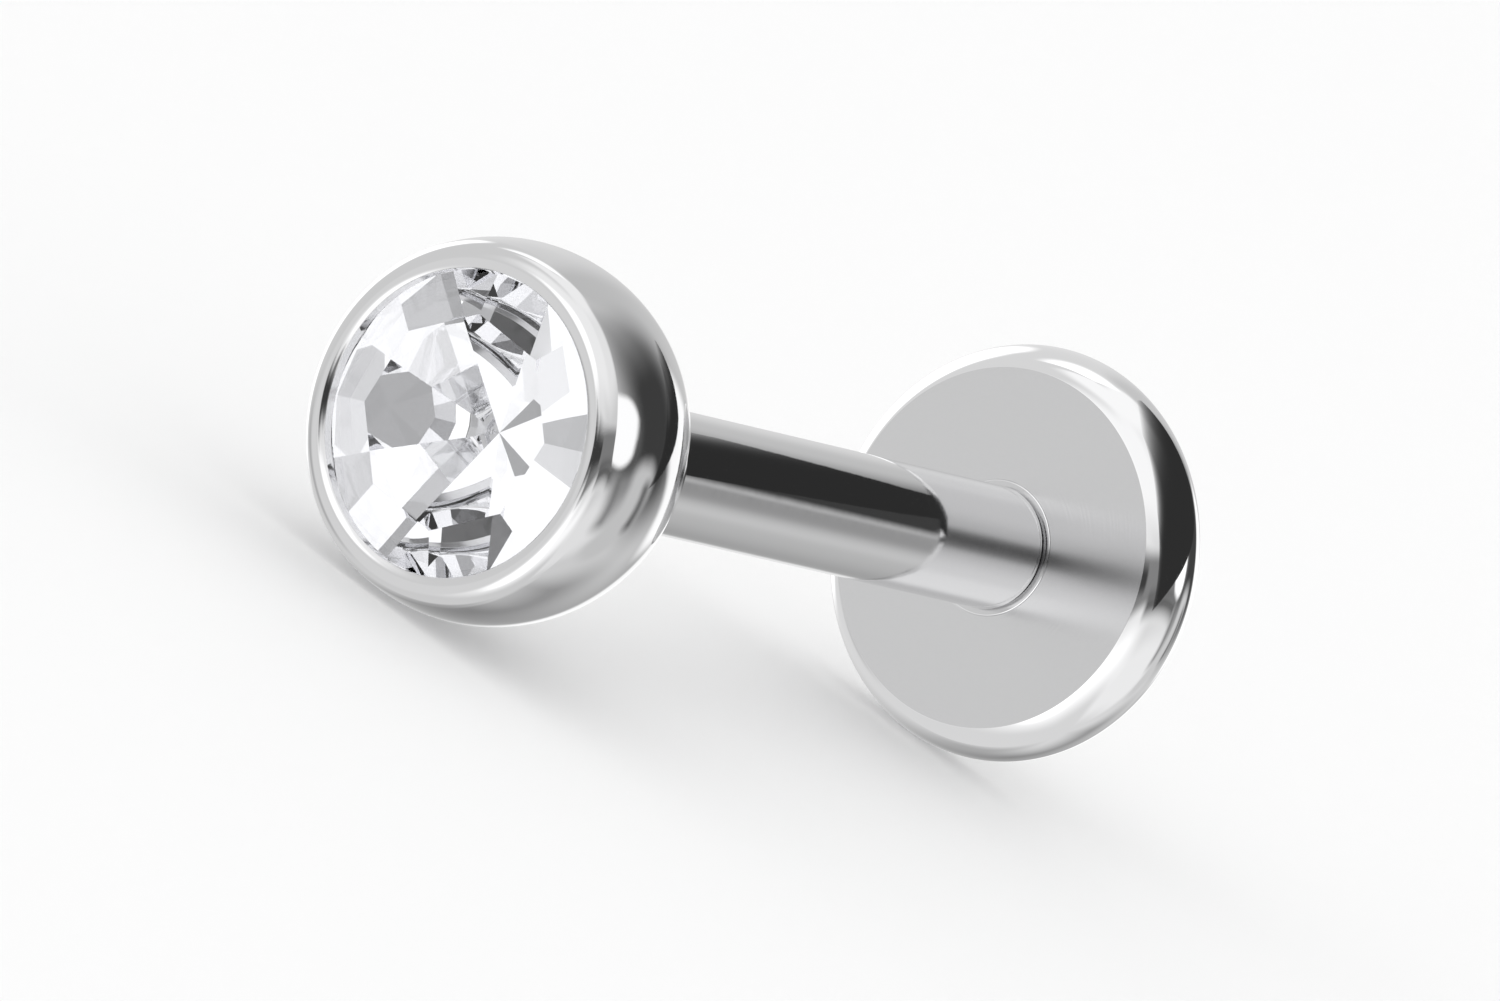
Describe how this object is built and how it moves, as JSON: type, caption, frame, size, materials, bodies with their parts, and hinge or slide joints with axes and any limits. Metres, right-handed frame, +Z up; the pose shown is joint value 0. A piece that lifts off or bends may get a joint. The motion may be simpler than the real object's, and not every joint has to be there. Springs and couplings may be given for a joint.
{
  "type": "labret stud",
  "caption": "Labret stud lying on its side: round bar with a flat back disc, and a rounded head set with a faceted crystal that comes off on a pin.",
  "frame": {"origin": "middle of the bottom of the bounding box, on the surface the stud lies on", "axes": "+Z up; the stud lies along X with its head towards -X and its disc towards +X, its axis leaning 1.1 degrees down to the head, so that the disc's rim and the head both touch the surface"},
  "size_m": [0.0104, 0.004, 0.004],
  "materials": {
    "disc_steel": "polished rim, fine satin inner face",
    "bar_steel": "mirror polished steel",
    "head_steel": "mirror polished steel",
    "crystal": "clear cut glass, silvered behind"
  },
  "bodies": {
    "post": {"back_disc": "disc_steel", "bar": "bar_steel"},
    "head": {"bezel_head": "head_steel", "crystal": "crystal"}
  },
  "joints": [
    {"name": "head_pull", "type": "slide", "parent": "post", "child": "head", "axis": [-0.9998, 0, -0.0197], "range_m": [0, 0.008]}
  ]
}
